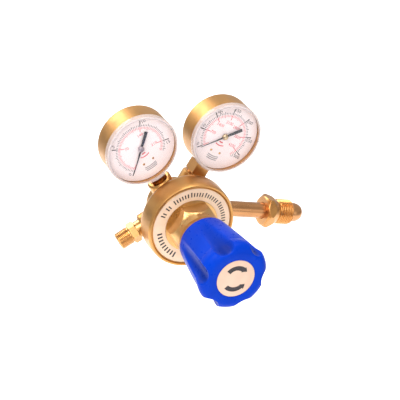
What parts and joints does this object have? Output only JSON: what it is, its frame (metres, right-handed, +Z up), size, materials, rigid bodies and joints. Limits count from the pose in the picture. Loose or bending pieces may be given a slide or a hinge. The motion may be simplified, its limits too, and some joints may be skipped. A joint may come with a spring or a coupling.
{
  "type": "oxygen cylinder pressure regulator",
  "caption": "Brass single-stage oxygen cylinder regulator with two pressure gauges, fluted blue adjusting knob, bullnose inlet and threaded hose outlet.",
  "frame": {"origin": "on the inlet's axis, in the middle of the inlet nut's thread", "axes": "+Z up, midway between the two gauges; the adjusting knob points to -Y; the inlet points to +X and 12.9 degrees down"},
  "size_m": [0.2001, 0.1458, 0.1409],
  "materials": {
    "brass_body": "satin machined forging",
    "case_brass": "satin lacquered brass finish",
    "bright_brass": "bright turned",
    "nipple_brass": "bright drawn, a little red",
    "label_film": "matt printed film",
    "knob_blue": "glossy moulded",
    "diaphragm_rubber": "fabric-backed rubber",
    "machined_steel": "plated, machined",
    "spring_steel": "drawn wire",
    "valve_brass": "turned",
    "sintered_bronze": "porous",
    "lens_clear": "clear moulded",
    "dial_white": "matt white enamel",
    "needle_black": "matt black",
    "movement_brass": "stamped and turned",
    "tube_bronze": "drawn bronze"
  },
  "bodies": {
    "regulator": {"body": "brass_body", "bonnet": "brass_body", "ring_label": "label_film", "diaphragm": "diaphragm_rubber", "slip_washer": "machined_steel", "main_spring": "spring_steel", "seat_nozzle": "valve_brass", "poppet_spring": "spring_steel", "poppet_guide": "valve_brass", "inlet_nipple": "nipple_brass", "inlet_filter": "sintered_bronze", "outlet_adapter": "bright_brass", "left_gauge_case": "case_brass", "left_gauge_lens": "lens_clear", "left_gauge_dial": "dial_white", "left_dial_screws": "movement_brass", "left_gauge_socket": "bright_brass", "left_pressure_tube": "tube_bronze", "left_movement_frame": "movement_brass", "right_gauge_case": "case_brass", "right_gauge_lens": "lens_clear", "right_gauge_dial": "dial_white", "right_dial_screws": "movement_brass", "right_gauge_socket": "bright_brass", "right_pressure_tube": "tube_bronze", "right_movement_frame": "movement_brass"},
    "spring_button": {"spring_button": "valve_brass"},
    "knob": {"adjusting_screw": "machined_steel", "knob": "knob_blue", "knob_nut": "machined_steel", "knob_label": "label_film"},
    "diaphragm_plate": {"diaphragm_plate": "machined_steel", "diaphragm_nut": "valve_brass"},
    "poppet": {"poppet": "machined_steel"},
    "inlet_nut": {"inlet_nut": "bright_brass"},
    "left_needle": {"left_gauge_needle": "needle_black"},
    "left_sector": {"left_sector": "movement_brass"},
    "left_link": {"left_link": "movement_brass"},
    "right_needle": {"right_gauge_needle": "needle_black"},
    "right_sector": {"right_sector": "movement_brass"},
    "right_link": {"right_link": "movement_brass"}
  },
  "joints": [
    {"name": "screw_travel", "type": "slide", "parent": "regulator", "child": "spring_button", "axis": [0, 1, 0], "range_m": [0, 0.00876], "deforming": ["main_spring"]},
    {"name": "knob_turn", "type": "hinge", "parent": "spring_button", "child": "knob", "pos_m": [-0.10698, 0, 0.0245], "axis": [0, 1, 0], "range_deg": [0, 1800]},
    {"name": "diaphragm_lift", "type": "slide", "parent": "regulator", "child": "diaphragm_plate", "axis": [0, 1, 0], "range_m": [0, 0.0008], "stiffness_N_per_m": 400, "deforming": ["diaphragm"]},
    {"name": "poppet_lift", "type": "slide", "parent": "regulator", "child": "poppet", "axis": [0, 1, 0], "range_m": [0, 0.0008], "deforming": ["poppet_spring"]},
    {"name": "inlet_nut_swivel", "type": "hinge", "parent": "regulator", "child": "inlet_nut", "pos_m": [0, 0, 0], "axis": [0.9748, 0, -0.2233], "continuous": true},
    {"name": "left_needle_turn", "type": "hinge", "parent": "regulator", "child": "left_needle", "pos_m": [-0.14633, 0, 0.09185], "axis": [0, 1, 0], "range_deg": [0, 272], "stiffness_Nm_per_rad": 0.0002, "springref_deg": -17.19},
    {"name": "left_sector_turn", "type": "hinge", "parent": "regulator", "child": "left_sector", "pos_m": [-0.14153, 0, 0.08362], "axis": [0, 1, 0], "range_deg": [-34.1, 0]},
    {"name": "left_link_turn", "type": "hinge", "parent": "left_sector", "child": "left_link", "pos_m": [-0.14045, 0, 0.07772], "axis": [0, 1, 0], "range_deg": [0, 34.1]},
    {"name": "right_needle_turn", "type": "hinge", "parent": "regulator", "child": "right_needle", "pos_m": [-0.06763, 0, 0.09185], "axis": [0, 1, 0], "range_deg": [0, 272], "stiffness_Nm_per_rad": 0.0002, "springref_deg": -17.19},
    {"name": "right_sector_turn", "type": "hinge", "parent": "regulator", "child": "right_sector", "pos_m": [-0.07243, 0, 0.08362], "axis": [0, 1, 0], "range_deg": [-34.1, 0]},
    {"name": "right_link_turn", "type": "hinge", "parent": "right_sector", "child": "right_link", "pos_m": [-0.07705, 0, 0.07979], "axis": [0, 1, 0], "range_deg": [0, 34.1]}
  ],
  "couplings": [
    {"joint": "screw_travel", "follows": "knob_turn", "m_per_rad": 0.00027852},
    {"joint": "poppet_lift", "follows": "diaphragm_lift", "ratio": 1},
    {"joint": "left_sector_turn", "follows": "left_needle_turn", "ratio": -0.125},
    {"joint": "left_link_turn", "follows": "left_needle_turn", "ratio": 0.125},
    {"joint": "right_sector_turn", "follows": "right_needle_turn", "ratio": -0.125},
    {"joint": "right_link_turn", "follows": "right_needle_turn", "ratio": 0.125}
  ]
}
